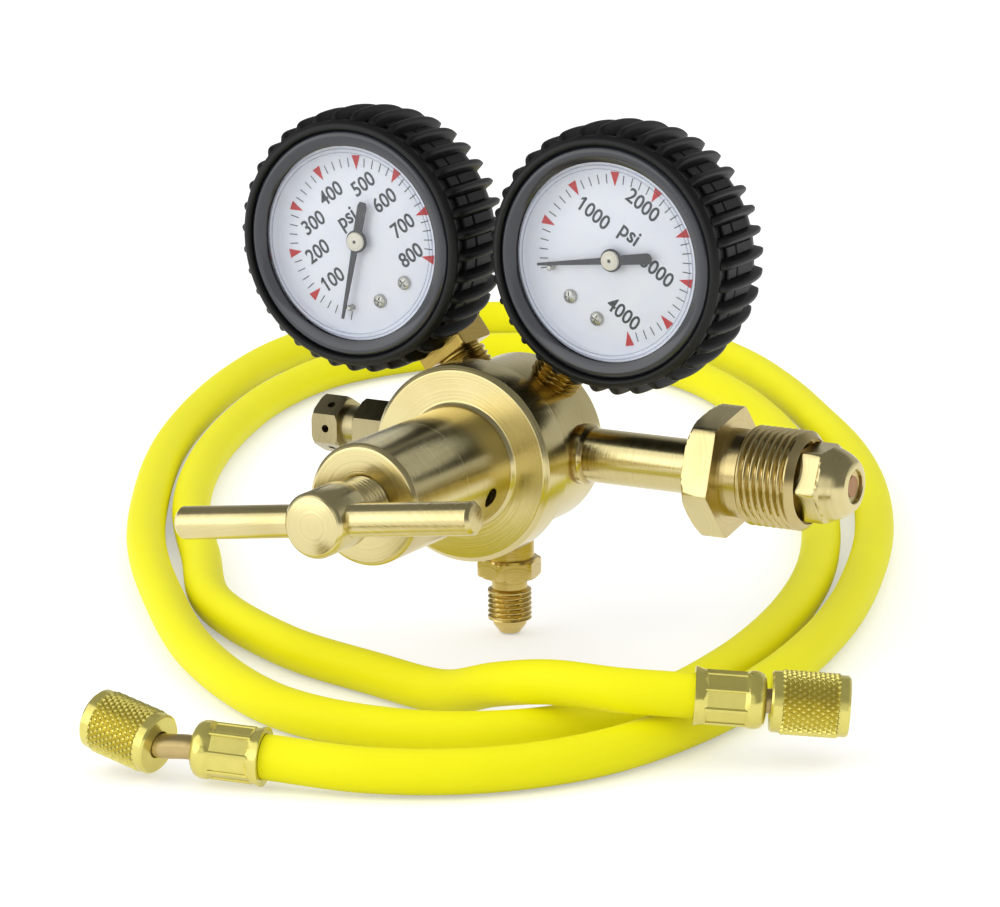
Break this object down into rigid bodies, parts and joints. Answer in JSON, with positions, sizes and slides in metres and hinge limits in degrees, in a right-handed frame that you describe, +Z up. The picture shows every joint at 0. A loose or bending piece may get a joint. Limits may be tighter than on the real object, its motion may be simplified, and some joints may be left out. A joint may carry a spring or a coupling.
{
  "type": "gas pressure regulator set",
  "caption": "Brass cylinder pressure regulator with two booted dial gauges, a T-bar adjusting screw and a loose yellow charging hose.",
  "frame": {"origin": "middle of the regulator's footprint box, at the level of the outlet's tip and of the floor that the hose lies on", "axes": "+X towards the cylinder inlet, +Y from the adjusting screw to the body, +Z up"},
  "size_m": [0.3459, 0.4778, 0.1339],
  "materials": {
    "brass": "satin, turned",
    "gold_brass": "polished",
    "steel": "ground",
    "bronze": "sintered or drawn",
    "boot_rubber": "moulded, half gloss",
    "seal_rubber": "smooth",
    "case_paint": "gloss",
    "dial_paint": "printed, matt",
    "pointer_paint": "matt",
    "lens": "clear",
    "hose_yellow": "smooth, half gloss"
  },
  "bodies": {
    "regulator": {"body": "brass", "bonnet": "brass", "slip_ring": "steel", "diaphragm": "seal_rubber", "seat_nozzle": "brass", "inlet_nipple": "brass", "inlet_filter": "bronze", "outlet_fitting": "brass", "relief_body": "brass", "relief_cap": "brass", "relief_spring": "steel", "range_spring": "steel", "valve_spring": "steel", "stem_left": "gold_brass", "case_left": "case_paint", "bezel_left": "case_paint", "lens_left": "lens", "dial_left": "dial_paint", "dial_screws_left": "steel", "bourdon_left": "bronze", "movement_left": "gold_brass", "boot_left": "boot_rubber", "stem_right": "gold_brass", "case_right": "case_paint", "bezel_right": "case_paint", "lens_right": "lens", "dial_right": "dial_paint", "dial_screws_right": "steel", "bourdon_right": "bronze", "movement_right": "gold_brass", "boot_right": "boot_rubber", "hose": "hose_yellow", "ferrule_left": "gold_brass", "ferrule_right": "gold_brass", "spigot_left": "gold_brass", "spigot_right": "gold_brass", "gasket_left": "seal_rubber", "gasket_right": "seal_rubber", "core_depressor": "gold_brass"},
    "button": {"spring_button": "steel"},
    "handle": {"adjusting_screw": "brass", "handle_bar": "brass"},
    "valve": {"diaphragm_plate": "steel", "valve_poppet": "steel"},
    "relief": {"relief_poppet": "steel"},
    "nut": {"inlet_nut": "brass"},
    "hose_nut_left": {"coupling_nut_left": "gold_brass"},
    "hose_nut_right": {"coupling_nut_right": "gold_brass"},
    "pointer_left": {"pointer_left": "pointer_paint"},
    "pointer_right": {"pointer_right": "pointer_paint"},
    "sector_left": {"sector_left": "gold_brass"},
    "sector_right": {"sector_right": "gold_brass"}
  },
  "joints": [
    {"name": "button_slide", "type": "slide", "parent": "regulator", "child": "button", "axis": [0, 1, 0], "range_m": [0, 0.0092], "deforming": ["range_spring"]},
    {"name": "handle_turn", "type": "hinge", "parent": "button", "child": "handle", "pos_m": [-0.01268, -0.04835, 0.0485], "axis": [0, 1, 0], "range_deg": [0, 2340]},
    {"name": "valve_lift", "type": "slide", "parent": "regulator", "child": "valve", "axis": [0, 1, 0], "range_m": [0, 0.0009], "deforming": ["diaphragm", "valve_spring"]},
    {"name": "relief_lift", "type": "slide", "parent": "regulator", "child": "relief", "axis": [-1, 0, 0], "range_m": [0, 0.0015], "stiffness_N_per_m": 2000, "springref_m": -0.002, "deforming": ["relief_spring"]},
    {"name": "nut_spin", "type": "hinge", "parent": "regulator", "child": "nut", "pos_m": [0.06332, 0.03865, 0.0485], "axis": [1, 0, 0], "continuous": true},
    {"name": "hose_nut_left_spin", "type": "hinge", "parent": "regulator", "child": "hose_nut_left", "pos_m": [-0.0313, -0.10545, 0.00962], "axis": [-0.9774, 0.0608, 0.2026], "continuous": true},
    {"name": "hose_nut_right_spin", "type": "hinge", "parent": "regulator", "child": "hose_nut_right", "pos_m": [0.10231, -0.02557, 0.01368], "axis": [0.8798, 0.4692, -0.0762], "continuous": true},
    {"name": "pointer_left_turn", "type": "hinge", "parent": "regulator", "child": "pointer_left", "pos_m": [-0.04992, 0.03015, 0.09882], "axis": [0, 1, 0], "range_deg": [0, 266], "stiffness_Nm_per_rad": 0.0002, "springref_deg": -5.73},
    {"name": "sector_left_turn", "type": "hinge", "parent": "regulator", "child": "sector_left", "pos_m": [-0.04457, 0.03015, 0.09159], "axis": [0, 1, 0], "range_deg": [-55, 0]},
    {"name": "pointer_right_turn", "type": "hinge", "parent": "regulator", "child": "pointer_right", "pos_m": [0.02232, 0.03015, 0.1004], "axis": [0, 1, 0], "range_deg": [0, 266], "stiffness_Nm_per_rad": 0.0002, "springref_deg": -5.73},
    {"name": "sector_right_turn", "type": "hinge", "parent": "regulator", "child": "sector_right", "pos_m": [0.01729, 0.03015, 0.09294], "axis": [0, 1, 0], "range_deg": [-55, 0]}
  ],
  "couplings": [
    {"joint": "button_slide", "follows": "handle_turn", "m_per_rad": 0.00022457},
    {"joint": "valve_lift", "follows": "handle_turn", "m_per_rad": 0.0000196},
    {"joint": "sector_left_turn", "follows": "pointer_left_turn", "ratio": -0.2},
    {"joint": "sector_right_turn", "follows": "pointer_right_turn", "ratio": -0.2}
  ]
}
